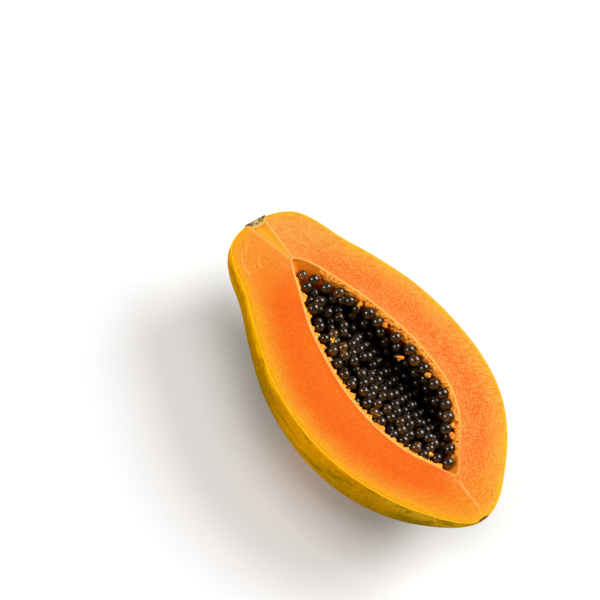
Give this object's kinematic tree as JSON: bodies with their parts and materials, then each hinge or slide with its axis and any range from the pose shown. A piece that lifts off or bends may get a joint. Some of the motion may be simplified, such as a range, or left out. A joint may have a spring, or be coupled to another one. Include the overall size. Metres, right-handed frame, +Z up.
{
  "type": "papaya half with seeds",
  "caption": "Pear-shaped tropical fruit cut lengthwise, lying on its round side, with a seed cavity open on its flat cut face.",
  "frame": {"origin": "middle of the fruit's length and width, on the surface that it rests on", "axes": "+X from the stem end towards the blossom end, +Z up out of the cut face, +Y across the cut face"},
  "size_m": [0.205, 0.1174, 0.0646],
  "materials": {
    "flesh": "moist, softly shiny",
    "skin": "waxy satin",
    "seeds": "wet gloss",
    "stalk": "dry, rough"
  },
  "bodies": {
    "root": {"fruit_half": "flesh", "seeds": "seeds", "stalk_stub": "stalk"}
  },
  "joints": []
}
